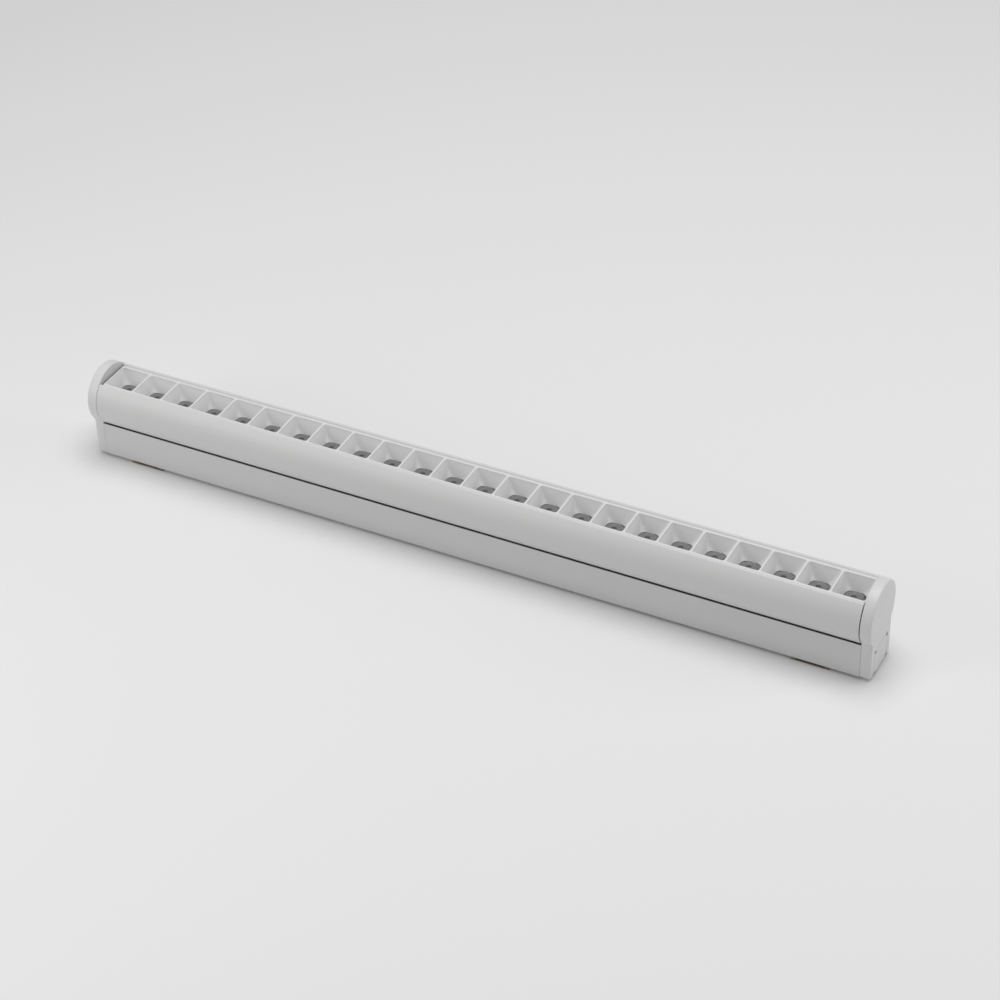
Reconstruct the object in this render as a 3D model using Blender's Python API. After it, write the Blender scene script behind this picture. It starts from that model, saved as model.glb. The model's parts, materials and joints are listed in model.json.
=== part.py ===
"""Linear LED batten: a round louvred head that tilts between two end caps on a box-section base.

Metres, +Z up. The origin is on the standing surface under the middle of the batten, X runs along it
and the head tilts about an axis parallel to X.
"""
import math

import bmesh
import bpy

MM = 0.001
GAP = 0.3 * MM               # between two pieces that touch

# Overall
CAP_TO_CAP = 593.6 * MM      # outer face to outer face
CAP_THICK = 7.5 * MM
CLIP_PLATE = 2.1 * MM        # the mounting clips lift the base by this much
HEAD_RADIUS = 22.5 * MM
BASE_WIDTH = 34.2 * MM

# Head
HEAD_PLAY = 1.1 * MM         # how much shorter the head is than the space between the caps
HEAD_SHIFT = -0.15 * MM      # the head lies towards the left cap
HEAD_WALL = 1.6 * MM
MOUTH_WIDTH = 28.0 * MM
LIP_WIDTH = 1.92 * MM        # flat on each side of the mouth
LEDGE_THICK = 1.4 * MM
LEDGE_REACH = 1.8 * MM       # how far a ledge stands in from the mouth's side
WEB_THICK = 1.8 * MM
PORT_RADIUS = 2.8 * MM       # screw ports inside the head
PORT_INSET = 2.3 * MM        # their centres from the inside of the head's wall
TILT_STOP = 60.0             # degrees each way

# Louvre
PITCH = 24.0 * MM
DIVIDER = 1.5 * MM           # between two cells
CELL_Y = 23.0 * MM
LOUVRE_RECESS = 0.3 * MM     # below the lips of the mouth
LOUVRE_WIDTH = 27.2 * MM
LOUVRE_PLAY = 1.7 * MM       # shorter than the head
LOUVRE_SHIFT = 0.6 * MM      # it lies towards the right cap
CELL_SHIFT = -0.35 * MM      # the cells stand nearer the front flange
FLANGE = 1.2 * MM
FUNNEL_DEPTH = 10.6 * MM
FUNNEL_FLOOR = 13.6 * MM     # side of the square at the foot of a funnel
FUNNEL_WALL = 1.0 * MM
HOLE_RADIUS = 7.3 * MM

# Light engine
LENS_STRIP_THICK = 1.2 * MM
LENS_RADIUS = 6.2 * MM
LENS_HEIGHT = 2.2 * MM
BOARD_THICK = 1.2 * MM
BOARD_WIDTH = 18.0 * MM
CHIP = 3.0 * MM
CHIP_THICK = 0.7 * MM
CHIP_SPACE = 0.4 * MM        # from a chip to the lens strip

# Base extrusion
BASE_WALL = 1.5 * MM
DUCT_HEIGHT = 11.9 * MM      # of the driver's duct, along its middle
SADDLE_GAP = 1.1 * MM        # between the head and the hollow top of the base
RAIL_MOUTH = 14.0 * MM       # T-slot along the underside
RAIL_WIDTH = 20.0 * MM
RAIL_LIP = 1.4 * MM
RAIL_DEPTH = 4.6 * MM

# End caps
EDGE_ROUND = 1.1 * MM
HUB_RADIUS = 3.4 * MM
HUB_LENGTH = 5.0 * MM
HUB_CLEARANCE = 0.3 * MM
LEAD_BORE = 2.0 * MM         # radius of the hole through a hub
SOCKET_WIDTH = 23.2 * MM     # opening in a cap for the linking socket
COVER_TOP = 19.6 * MM        # top of that opening above the underside
COVER_THICK = 1.6 * MM
COVER_NOTCH = 2.4 * MM       # a nick at each corner, for a blade
SOCKET_BODY = 14.0 * MM      # width of the linking socket
SOCKET_HEIGHT = 7.6 * MM
SOCKET_LENGTH = 24.0 * MM
CONTACTS = 3
CONTACT_PITCH = 4.2 * MM
CONTACT_RADIUS = 0.7 * MM
TONGUE_LENGTH = 9.0 * MM     # tongues that key a cap into the base
TONGUE_THICK = 2.0 * MM

# Head end plugs
PLUG_THICK = 5.0 * MM
PLUG_RECESS = 1.0 * MM       # from the end of the head
PIN_CIRCLE = 13.5 * MM       # radius at which the stop pin runs
PIN_RADIUS = 1.1 * MM
PIN_LENGTH = 2.6 * MM
SCREW_RADIUS = 1.3 * MM
SCREW_LENGTH = 9.0 * MM
SCREW_HEAD = 2.2 * MM
SCREW_HEAD_THICK = 1.2 * MM
WASHER_RIM = 4.0 * MM        # width of a friction washer's ring

# Driver
DRIVER_LENGTH = 168.0 * MM
DRIVER_WIDTH = 24.0 * MM
DRIVER_BOARD = 1.6 * MM
TRAY_WALL = 0.8 * MM
LEAD_RADIUS = 0.9 * MM

# Mounting clips
CLIP_LENGTH = 26.0 * MM
CLIP_FROM_END = 41.3 * MM    # its middle from the batten's end
CLIP_STEEL = 0.8 * MM
CLIP_FOLD = 3.0 * MM         # length of the pad at each end of a clip
CLIP_HOLE = 2.2 * MM

AXIS_ABOVE_BASE = HEAD_RADIUS + SADDLE_GAP + BASE_WALL + DUCT_HEIGHT + BASE_WALL + RAIL_DEPTH
AXIS_Z = CLIP_PLATE + AXIS_ABOVE_BASE
BASE_HALF = BASE_WIDTH / 2
CAP_FACE = CAP_TO_CAP / 2 - CAP_THICK
BASE_LENGTH = 2 * (CAP_FACE - GAP)
SADDLE_RADIUS = HEAD_RADIUS + SADDLE_GAP
HEAD_LENGTH = 2 * CAP_FACE - HEAD_PLAY
MOUTH_HEIGHT = math.sqrt(HEAD_RADIUS**2 - (MOUTH_WIDTH / 2 + LIP_WIDTH) ** 2)
LOUVRE_TOP = MOUTH_HEIGHT - LOUVRE_RECESS
LOUVRE_FOOT = LOUVRE_TOP - FUNNEL_DEPTH
LOUVRE_LENGTH = HEAD_LENGTH - LOUVRE_PLAY
CELLS = int((LOUVRE_LENGTH + DIVIDER) / PITCH)
CELL_X = PITCH - DIVIDER
STRIP_TOP = LOUVRE_FOOT - GAP
STRIP_FOOT = STRIP_TOP - LENS_STRIP_THICK
BOARD_TOP = STRIP_FOOT - CHIP_SPACE - CHIP_THICK
WEB_TOP = BOARD_TOP - BOARD_THICK - GAP
PORT_CIRCLE = HEAD_RADIUS - HEAD_WALL - PORT_INSET
CLIP_PLACE = CAP_TO_CAP / 2 - CLIP_FROM_END
ROUND_SIDES = 48


def clear_scene():
    for item in list(bpy.data.objects):
        bpy.data.objects.remove(item, do_unlink=True)


def finish(name, colour, roughness, metallic=0.0):
    """A plain Principled material."""
    made = bpy.data.materials.new(name)
    made.use_nodes = True
    shader = made.node_tree.nodes["Principled BSDF"]
    shader.inputs["Base Color"].default_value = (*colour, 1.0)
    shader.inputs["Roughness"].default_value = roughness
    shader.inputs["Metallic"].default_value = metallic
    return made


def place(name, mesh, material, parent=None, at=(0.0, 0.0, 0.0)):
    """An object with its own material, placed under its parent."""
    item = bpy.data.objects.new(name, mesh)
    bpy.context.scene.collection.objects.link(item)
    if not mesh.materials:
        mesh.materials.append(material)
    item.location = at
    if parent:
        item.parent = parent
    return item


def empty(name, at):
    item = bpy.data.objects.new(name, None)
    bpy.context.scene.collection.objects.link(item)
    item.location = at
    return item


def extruded(name, outline, holes, start, end):
    """A profile in Y and Z, with holes, drawn out along X from start to end."""
    shape = bmesh.new()
    edges = []
    for ring in [outline, *holes]:
        dots = [shape.verts.new((start, y, z)) for y, z in ring]
        edges += [shape.edges.new((a, b)) for a, b in zip(dots, dots[1:] + dots[:1])]
    bmesh.ops.triangle_fill(shape, edges=edges, use_beauty=True, normal=(-1.0, 0.0, 0.0))
    drawn = bmesh.ops.extrude_face_region(shape, geom=shape.faces[:])
    moved = [part for part in drawn["geom"] if isinstance(part, bmesh.types.BMVert)]
    bmesh.ops.translate(shape, verts=moved, vec=(end - start, 0.0, 0.0))
    bmesh.ops.recalc_face_normals(shape, faces=shape.faces)
    mesh = bpy.data.meshes.new(name)
    shape.to_mesh(mesh)
    shape.free()
    return mesh


def arc(radius, start, end, steps, centre_z=0.0):
    """Points in Y and Z on a circle round the tilt axis, angles in degrees from +Y towards +Z."""
    turned = []
    for step in range(steps + 1):
        angle = math.radians(start + (end - start) * step / steps)
        turned.append((radius * math.cos(angle), centre_z + radius * math.sin(angle)))
    return turned


def circle(radius, y, z, sides):
    return [(y + py, z + pz) for py, pz in arc(radius, 0.0, 360.0, sides)[:-1]]


def rectangle(half_y, low, high):
    return [(-half_y, low), (half_y, low), (half_y, high), (-half_y, high)]


def block(low, high):
    """A box mesh between two corners."""
    outline = [(low[1], low[2]), (high[1], low[2]), (high[1], high[2]), (low[1], high[2])]
    return extruded("block", outline, [], low[0], high[0])


def bar(radius, start, end, y, z, sides=24):
    """A round bar along X."""
    return extruded("bar", circle(radius, y, z, sides), [], start, end)


def tapered(half_low, half_high, at, low, high):
    """A four-sided funnel: half sizes in X and Y at its foot and its mouth."""
    shape = bmesh.new()
    rings = []
    for (half_x, half_y), z in ((half_low, low), (half_high, high)):
        corners = ((-half_x, -half_y), (half_x, -half_y), (half_x, half_y), (-half_x, half_y))
        rings.append([shape.verts.new((at[0] + x, at[1] + y, z)) for x, y in corners])
    foot, mouth = rings
    shape.faces.new(foot[::-1])
    shape.faces.new(mouth)
    for side in range(4):
        after = (side + 1) % 4
        shape.faces.new((foot[side], foot[after], mouth[after], mouth[side]))
    mesh = bpy.data.meshes.new("tapered")
    shape.to_mesh(mesh)
    shape.free()
    return mesh


def upright(radius_low, radius_high, at, low, high, sides=12):
    """A round post or cone standing along Z, with at giving its X and Y."""
    shape = bmesh.new()
    bmesh.ops.create_cone(
        shape, cap_ends=True, segments=sides, radius1=radius_low, radius2=radius_high, depth=high - low
    )
    bmesh.ops.translate(shape, verts=shape.verts, vec=(at[0], at[1], (low + high) / 2))
    mesh = bpy.data.meshes.new("upright")
    shape.to_mesh(mesh)
    shape.free()
    return mesh


def joined(name, meshes):
    """Several meshes in one, as a cutter or as pieces for a union."""
    shape = bmesh.new()
    for mesh in meshes:
        shape.from_mesh(mesh)
    mesh = bpy.data.meshes.new(name)
    shape.to_mesh(mesh)
    shape.free()
    return mesh


def boolean(item, tool_mesh, operation):
    """Cuts or adds a mesh, given in the same space as the item's own, with an exact Boolean modifier."""
    tool = bpy.data.objects.new(item.name + "_tool", tool_mesh)
    bpy.context.scene.collection.objects.link(tool)
    tool.parent = item.parent
    tool.hide_render = True
    tool.display_type = "WIRE"
    change = item.modifiers.new(operation.lower(), "BOOLEAN")
    change.operation = operation
    change.solver = "EXACT"
    change.object = tool
    return change


def smooth(item, angle=35.0):
    item.data.shade_smooth()
    item.data.set_sharp_from_angle(angle=math.radians(angle))
    return item


def base_outline():
    """The outer shape of the base: flat sides, a hollow saddle for the head and a T-slot underneath."""
    floor = CLIP_PLATE
    rim = math.degrees(math.acos(BASE_HALF / SADDLE_RADIUS))
    mouth, inside = RAIL_MOUTH / 2, RAIL_WIDTH / 2
    slot = [
        (-mouth, floor),
        (-mouth, floor + RAIL_LIP),
        (-inside, floor + RAIL_LIP),
        (-inside, floor + RAIL_DEPTH),
    ]
    under = [(-BASE_HALF, floor), *slot, *[(-y, z) for y, z in reversed(slot)], (BASE_HALF, floor)]
    return under + arc(SADDLE_RADIUS, -rim, rim - 180.0, 16, AXIS_Z)


def base_holes():
    """The driver's duct and a hollow in each foot."""
    floor = CLIP_PLATE + RAIL_DEPTH + BASE_WALL
    half = BASE_HALF - BASE_WALL
    roof = SADDLE_RADIUS + BASE_WALL
    rim = math.degrees(math.acos(half / roof))
    duct = [(-half, floor), (half, floor)] + arc(roof, -rim, rim - 180.0, 12, AXIS_Z)
    near, far = RAIL_WIDTH / 2 + BASE_WALL, half
    low, high = CLIP_PLATE + RAIL_LIP, CLIP_PLATE + RAIL_DEPTH
    foot = [(near, low), (far, low), (far, high), (near, high)]
    return [duct, foot, [(-y, z) for y, z in reversed(foot)]]


def make_base(material):
    mesh = extruded("base_channel", base_outline(), base_holes(), -BASE_LENGTH / 2, BASE_LENGTH / 2)
    return smooth(place("base_channel", mesh, material))


def cap_outline():
    """A disc on top of a square foot as wide as the base."""
    rim = math.degrees(math.acos(BASE_HALF / HEAD_RADIUS))
    disc = arc(HEAD_RADIUS, -rim, 180.0 + rim, ROUND_SIDES, AXIS_Z)
    return [(-BASE_HALF, CLIP_PLATE), (BASE_HALF, CLIP_PLATE)] + disc


def rounded_edge(mesh, x, width):
    """Rounds the edges of the flat face that lies at x."""
    shape = bmesh.new()
    shape.from_mesh(mesh)
    bmesh.ops.dissolve_limit(shape, angle_limit=0.001, verts=shape.verts, edges=shape.edges)
    rim = []
    for edge in shape.edges:
        level = all(abs(dot.co.x - x) < 1e-6 for dot in edge.verts)
        if level and len(edge.link_faces) == 2 and edge.calc_face_angle() > 1.0:
            rim.append(edge)
    bmesh.ops.bevel(shape, geom=rim, offset=width, segments=2, profile=0.5, affect="EDGES")
    shape.to_mesh(mesh)
    shape.free()


def make_cap(side, name, material):
    """End cap: side is -1 at the left end and 1 at the right."""
    inner = side * CAP_FACE
    outer = side * CAP_TO_CAP / 2
    mesh = extruded(name, cap_outline(), [], inner, outer)
    rounded_edge(mesh, outer, EDGE_ROUND)
    cap = place(name, mesh, material)
    duct_floor = CLIP_PLATE + RAIL_DEPTH + BASE_WALL
    hub = bar(HUB_RADIUS, inner - side * HUB_LENGTH, inner + side * MM, 0.0, AXIS_Z)
    tongues = []
    for across in (-1.0, 1.0):
        far = across * (BASE_HALF - BASE_WALL - GAP)
        near = far - across * TONGUE_THICK
        low = (inner - side * TONGUE_LENGTH, min(near, far), duct_floor + GAP)
        high = (inner + side * MM, max(near, far), duct_floor + SOCKET_HEIGHT)
        tongues.append(block(low, high))
    boolean(cap, joined(name + "_adds", [hub, *tongues]), "UNION")
    recess_floor = outer - side * (COVER_THICK + GAP)
    recess = block(
        (recess_floor, -SOCKET_WIDTH / 2, 0.0),
        (outer + side * MM, SOCKET_WIDTH / 2, CLIP_PLATE + COVER_TOP),
    )
    boolean(cap, recess, "DIFFERENCE")
    cover_high = CLIP_PLATE + COVER_TOP - GAP
    spans = ((0.0, CLIP_PLATE + COVER_NOTCH), (cover_high - COVER_NOTCH, cover_high))
    blades = []
    for across in (-1.0, 1.0):
        far = across * (SOCKET_WIDTH / 2 - GAP)
        near = far - across * COVER_NOTCH
        for foot, head in spans:
            low = (inner - side * MM, min(near, far), foot)
            blades.append(block(low, (recess_floor + side * 0.2 * MM, max(near, far), head)))
    boolean(cap, joined(name + "_blade_holes", blades), "DIFFERENCE")
    window = block(
        (inner - side * MM, -SOCKET_BODY / 2 - GAP, duct_floor),
        (recess_floor + side * MM, SOCKET_BODY / 2 + GAP, duct_floor + 2 * GAP + SOCKET_HEIGHT),
    )
    boolean(cap, window, "DIFFERENCE")
    return cap


def make_lead_duct(cap):
    """The way for the head's lead: up the inner face of the left cap and out through its hub."""
    lowest = CLIP_PLATE + RAIL_DEPTH + BASE_WALL + SOCKET_HEIGHT - MM
    duct_half = LEAD_RADIUS + 2 * GAP
    deepest = -CAP_FACE - 3.0 * MM
    below_hub = AXIS_Z - HUB_RADIUS - GAP
    duct = block((deepest, -duct_half, lowest), (-CAP_FACE + MM, duct_half, below_hub))
    behind = block((deepest, -duct_half, lowest + MM), (-CAP_FACE - GAP, duct_half, AXIS_Z))
    bore = bar(LEAD_BORE, deepest, -CAP_FACE + HUB_LENGTH + MM, 0.0, AXIS_Z, 16)
    for cutter in (duct, behind, bore):
        boolean(cap, cutter, "DIFFERENCE")


def make_stop_groove(cap):
    """The curved groove in the right cap that the head's stop pin runs in."""
    spare = math.degrees(math.asin((PIN_RADIUS + GAP) / PIN_CIRCLE))
    first, last = -90.0 - TILT_STOP - spare, -90.0 + TILT_STOP + spare
    inside, outside = PIN_CIRCLE - PIN_RADIUS - GAP, PIN_CIRCLE + PIN_RADIUS + GAP
    ring = arc(outside, first, last, 20, AXIS_Z) + arc(inside, last, first, 20, AXIS_Z)
    boolean(cap, extruded("groove", ring, [], CAP_FACE - MM, CAP_FACE + PIN_LENGTH), "DIFFERENCE")


def make_cover(side, name, material):
    """Blank cover that closes the linking socket's opening."""
    half = SOCKET_WIDTH / 2 - GAP
    low, high = CLIP_PLATE, CLIP_PLATE + COVER_TOP - GAP
    nick = COVER_NOTCH
    outline = [
        (-half + nick, low), (half - nick, low), (half - nick, low + nick), (half, low + nick),
        (half, high - nick), (half - nick, high - nick), (half - nick, high), (-half + nick, high),
        (-half + nick, high - nick), (-half, high - nick), (-half, low + nick), (-half + nick, low + nick),
    ]
    outer = side * CAP_TO_CAP / 2
    return place(name, extruded(name, outline, [], outer - side * COVER_THICK, outer), material)


def make_socket(side, name, material, metal):
    """Linking socket behind the cover, and its contacts."""
    outer = side * (CAP_TO_CAP / 2 - COVER_THICK - 2 * GAP)
    inner = outer - side * SOCKET_LENGTH
    floor = CLIP_PLATE + RAIL_DEPTH + BASE_WALL + GAP
    middle = floor + SOCKET_HEIGHT / 2
    body = [(y, z + middle) for y, z in rectangle(SOCKET_BODY / 2, -SOCKET_HEIGHT / 2, SOCKET_HEIGHT / 2)]
    places = [(number - (CONTACTS - 1) / 2) * CONTACT_PITCH for number in range(CONTACTS)]
    holes = [circle(CONTACT_RADIUS + GAP, y, middle, 12) for y in places]
    place(name, extruded(name, body, holes, inner, outer), material)
    for number, y in enumerate(places):
        contact = name.replace("link_socket", "socket_contact") + f"_{number + 1}"
        start = inner - side * 3.0 * MM
        place(contact, bar(CONTACT_RADIUS, start, outer - side * 2.0 * MM, y, middle, 10), metal)


def head_outline():
    """The open-topped round of the head, with a ledge on each side for the louvre, about the tilt axis."""
    inner = HEAD_RADIUS - HEAD_WALL
    side = MOUTH_WIDTH / 2
    lip = math.degrees(math.asin(MOUTH_HEIGHT / HEAD_RADIUS))
    ledge_top = LOUVRE_TOP - FLANGE - GAP
    ledge_foot = ledge_top - LEDGE_THICK
    foot = math.degrees(math.asin(ledge_foot / inner))
    web = math.degrees(math.asin(WEB_TOP / inner))
    edge = side - LEDGE_REACH
    ledge = [(side, MOUTH_HEIGHT), (side, ledge_top), (edge, ledge_top), (edge, ledge_foot)]
    right = ledge + arc(inner, foot, web, 4)
    left = [(-y, z) for y, z in right]
    return arc(HEAD_RADIUS, lip, -180.0 - lip, 40) + left + right[::-1]


def head_hollow():
    """The closed chamber under the board's web."""
    inner = HEAD_RADIUS - HEAD_WALL
    web = math.degrees(math.asin((WEB_TOP - WEB_THICK) / inner))
    return arc(inner, web, -180.0 - web, 30)


def port_places():
    """Screw ports, low on each side of the head."""
    reach = PORT_CIRCLE * math.sqrt(0.5)
    return [(-reach, -reach), (reach, -reach)]


def plug_outline(radius, top):
    """A disc with a flat top."""
    rim = math.degrees(math.asin(top / radius))
    return arc(radius, rim, -180.0 - rim, 32)


def make_head(pivot, material):
    start, end = HEAD_SHIFT - HEAD_LENGTH / 2, HEAD_SHIFT + HEAD_LENGTH / 2
    mesh = extruded("head_profile", head_outline(), [head_hollow()], start, end)
    head = place("head_profile", mesh, material, pivot)
    pocket = PLUG_RECESS + PLUG_THICK + GAP
    ports, bores, pockets = [], [], []
    for y, z in port_places():
        ports.append(bar(PORT_RADIUS, start + pocket, end - pocket, y, z, 16))
        bores.append(bar(SCREW_RADIUS + GAP, start - MM, end + MM, y, z, 12))
    milled = plug_outline(HEAD_RADIUS - HEAD_WALL - 0.05 * MM, LOUVRE_FOOT)
    for low, high in ((start - MM, start + pocket), (end - pocket, end + MM)):
        pockets.append(extruded("pocket", milled, [], low, high))
    boolean(head, joined("ports", ports), "UNION")
    boolean(head, joined("bores", bores), "DIFFERENCE")
    boolean(head, joined("pockets", pockets), "DIFFERENCE")
    return head


def cell_places():
    return [LOUVRE_SHIFT + (number - (CELLS - 1) / 2) * PITCH for number in range(CELLS)]


def make_louvre(pivot, material):
    """The moulded row of square funnels that drops into the head's mouth."""
    top, foot = LOUVRE_TOP, LOUVRE_FOOT
    half_x, half_y = CELL_X / 2, CELL_Y / 2
    floor = FUNNEL_FLOOR / 2
    start, end = LOUVRE_SHIFT - LOUVRE_LENGTH / 2, LOUVRE_SHIFT + LOUVRE_LENGTH / 2
    plate = block((start, -LOUVRE_WIDTH / 2, top - FLANGE), (end, LOUVRE_WIDTH / 2, top))
    plate.name = "louvre"
    louvre = place("louvre", plate, material, pivot)

    def sizes(z, extra):
        share = (z - foot) / FUNNEL_DEPTH
        return (
            floor + (half_x - floor) * share + extra,
            floor + (half_y - floor) * share + extra,
        )

    under = top - FLANGE + 0.2 * MM
    above = top + 0.6 * MM
    shells, funnels, holes = [], [], []
    for place_x in cell_places():
        at = (place_x, CELL_SHIFT)
        shells.append(tapered(sizes(foot, FUNNEL_WALL), sizes(under, FUNNEL_WALL), at, foot, under))
        funnels.append(tapered(sizes(foot + 0.6 * MM, 0.0), sizes(above, 0.0), at, foot + 0.6 * MM, above))
        holes.append(upright(HOLE_RADIUS, HOLE_RADIUS, at, foot - MM, foot + 2.0 * MM, 16))
    boolean(louvre, joined("shells", shells), "UNION")
    boolean(louvre, joined("funnels", funnels), "DIFFERENCE")
    boolean(louvre, joined("holes", holes), "DIFFERENCE")
    return louvre


def board_span():
    """How far along X the board and the lens strip reach between the end plugs."""
    reach = PLUG_RECESS + PLUG_THICK + 2 * GAP
    return HEAD_SHIFT - HEAD_LENGTH / 2 + reach, HEAD_SHIFT + HEAD_LENGTH / 2 - reach


def make_light_engine(pivot, lens_material, board_material):
    start, end = board_span()
    half = BOARD_WIDTH / 2
    board_mesh = block((start, -half, BOARD_TOP - BOARD_THICK), (end, half, BOARD_TOP))
    board = place("led_board", board_mesh, board_material, pivot)
    strip_mesh = block((start, -half, STRIP_FOOT), (end, half, STRIP_TOP))
    strip = place("lens_strip", strip_mesh, lens_material, pivot)
    chips, lenses = [], []
    for at in cell_places():
        low = (at - CHIP / 2, -CHIP / 2, BOARD_TOP - 0.2 * MM)
        chips.append(block(low, (at + CHIP / 2, CHIP / 2, BOARD_TOP + CHIP_THICK)))
        lens_foot, lens_top = STRIP_TOP - 0.3 * MM, STRIP_TOP + LENS_HEIGHT
        lens_at = (at, CELL_SHIFT)
        lenses.append(upright(LENS_RADIUS, LENS_RADIUS * 0.7, lens_at, lens_foot, lens_top))
    boolean(board, joined("chips", chips), "UNION")
    boolean(strip, joined("lenses", lenses), "UNION")
    for item in (board, strip):
        past = PITCH
        sawn = [
            block((start - past, -BASE_WIDTH, 0.0), (start, BASE_WIDTH, MOUTH_HEIGHT)),
            block((end, -BASE_WIDTH, 0.0), (end + past, BASE_WIDTH, MOUTH_HEIGHT)),
        ]
        boolean(item, joined(item.name + "_ends", sawn), "DIFFERENCE")


def make_plug(side, name, pivot, material):
    """End plug of the head: its bore turns on the cap's hub."""
    head_end = HEAD_SHIFT + side * HEAD_LENGTH / 2
    outer = head_end - side * PLUG_RECESS
    inner = outer - side * PLUG_THICK
    radius = HEAD_RADIUS - HEAD_WALL - GAP - 0.1 * MM
    outline = plug_outline(radius, STRIP_TOP)
    bore = circle(HUB_RADIUS + HUB_CLEARANCE, 0.0, 0.0, 24)
    screws = [circle(SCREW_RADIUS + GAP, y, z, 12) for y, z in port_places()]
    plug = place(name, extruded(name, outline, [bore, *screws], inner, outer), material, pivot)
    sinks = []
    for y, z in port_places():
        depth = SCREW_HEAD_THICK + GAP
        sinks.append(bar(SCREW_HEAD + GAP, outer - side * depth, outer + side * MM, y, z, 16))
    boolean(plug, joined(name + "_sinks", sinks), "DIFFERENCE")
    return plug


def make_plug_screws(side, word, pivot, material):
    outer = HEAD_SHIFT + side * (HEAD_LENGTH / 2 - PLUG_RECESS)
    for number, (y, z) in enumerate(port_places()):
        name = f"plug_screw_{word}_{number + 1}"
        neck = outer - side * SCREW_HEAD_THICK
        crown = bar(SCREW_HEAD, neck, outer, y, z, 16)
        shank = bar(SCREW_RADIUS, neck - side * SCREW_LENGTH, neck + side * 0.5 * MM, y, z, 10)
        screw = place(name, crown, material, pivot)
        boolean(screw, shank, "UNION")


def make_washer(side, name, pivot, material):
    """Friction washer round the hub that fills the space between a plug and its cap."""
    start = HEAD_SHIFT + side * (HEAD_LENGTH / 2 - PLUG_RECESS + GAP)
    end = side * (CAP_FACE - GAP)
    outline = circle(HUB_RADIUS + WASHER_RIM, 0.0, 0.0, 24)
    bore = circle(HUB_RADIUS + HUB_CLEARANCE, 0.0, 0.0, 24)
    place(name, extruded(name, outline, [bore], start, end), material, pivot)


def make_stop_pin(pivot, material):
    """Steel pin in the right plug that runs in the cap's groove."""
    plug_face = HEAD_SHIFT + HEAD_LENGTH / 2 - PLUG_RECESS
    reach = CAP_FACE + PIN_LENGTH - 2 * GAP
    place("stop_pin", bar(PIN_RADIUS, plug_face + GAP, reach, 0.0, -PIN_CIRCLE, 12), material, pivot)


def cord(name, points, radius, material, parent=None):
    """A round insulated lead along a list of points."""
    line = bpy.data.curves.new(name, "CURVE")
    line.dimensions = "3D"
    line.bevel_depth = radius
    line.bevel_resolution = 1
    line.use_fill_caps = True
    spline = line.splines.new("POLY")
    spline.points.add(len(points) - 1)
    for dot, point in zip(spline.points, points):
        dot.co = (*point, 1.0)
    line.materials.append(material)
    item = bpy.data.objects.new(name, line)
    bpy.context.scene.collection.objects.link(item)
    item.parent = parent
    return item


def make_leads(pivot, material):
    """The head's supply: from the driver through the left cap's duct and hub to the board."""
    roof = CLIP_PLATE + RAIL_DEPTH + BASE_WALL + SOCKET_HEIGHT + 2.0 * MM
    inside = -CAP_FACE - 1.5 * MM
    hub_end = -CAP_FACE + HUB_LENGTH
    web_start = HEAD_SHIFT - HEAD_LENGTH / 2 + PLUG_RECESS + PLUG_THICK + GAP
    join = hub_end - 2.0 * MM
    driver_end = -DRIVER_LENGTH / 2 - 2.0 * MM
    base_route = [
        (driver_end, 0.0, roof),
        (-CAP_FACE + 2.0 * MM, 0.0, roof),
        (inside + MM, 0.0, roof + 0.4 * MM),
        (inside, 0.0, roof + 2.0 * MM),
        (inside, 0.0, AXIS_Z - 2.0 * MM),
        (inside + 0.6 * MM, 0.0, AXIS_Z - 0.5 * MM),
        (inside + 2.0 * MM, 0.0, AXIS_Z),
        (join, 0.0, AXIS_Z),
    ]
    cord("driver_lead", base_route, LEAD_RADIUS, material)
    drop = min(0.0, WEB_TOP - WEB_THICK - LEAD_RADIUS - GAP)
    head_route = [
        (join + GAP, 0.0, 0.0),
        (hub_end - 0.8 * MM, 0.0, 0.1 * drop),
        (hub_end, 0.0, 0.3 * drop),
        (web_start - GAP, 0.0, drop),
        (web_start + 3.6 * MM, 0.0, 1.6 * drop),
        (web_start + 56.0 * MM, 0.0, 1.6 * drop),
    ]
    cord("head_lead", head_route, LEAD_RADIUS, material, pivot)


def make_driver(board_material, tray_material, parts):
    """The driver: an insulating tray, its board and the parts soldered to it."""
    floor = CLIP_PLATE + RAIL_DEPTH + BASE_WALL + GAP
    start, end = -DRIVER_LENGTH / 2, DRIVER_LENGTH / 2
    half = DRIVER_WIDTH / 2
    rim = floor + 4.0 * MM
    tray = [
        (-half, floor), (half, floor), (half, rim), (half - TRAY_WALL, rim),
        (half - TRAY_WALL, floor + TRAY_WALL), (-half + TRAY_WALL, floor + TRAY_WALL),
        (-half + TRAY_WALL, rim), (-half, rim),
    ]
    place("driver_tray", extruded("driver_tray", tray, [], start, end), tray_material)
    board_half = half - TRAY_WALL - GAP
    board_foot = floor + TRAY_WALL + GAP
    top = board_foot + DRIVER_BOARD
    low, high = (start + MM, -board_half, board_foot), (end - MM, board_half, top)
    place("driver_board", block(low, high), board_material)
    for name, at, across, size, tall, material in parts:
        foot = top + GAP
        if size[1] is None:
            mesh = upright(size[0], size[0], (at, across), foot, foot + tall, 16)
        else:
            low = (at - size[0] / 2, across - size[1] / 2, foot)
            mesh = block(low, (at + size[0] / 2, across + size[1] / 2, foot + tall))
        place(name, mesh, material)


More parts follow.
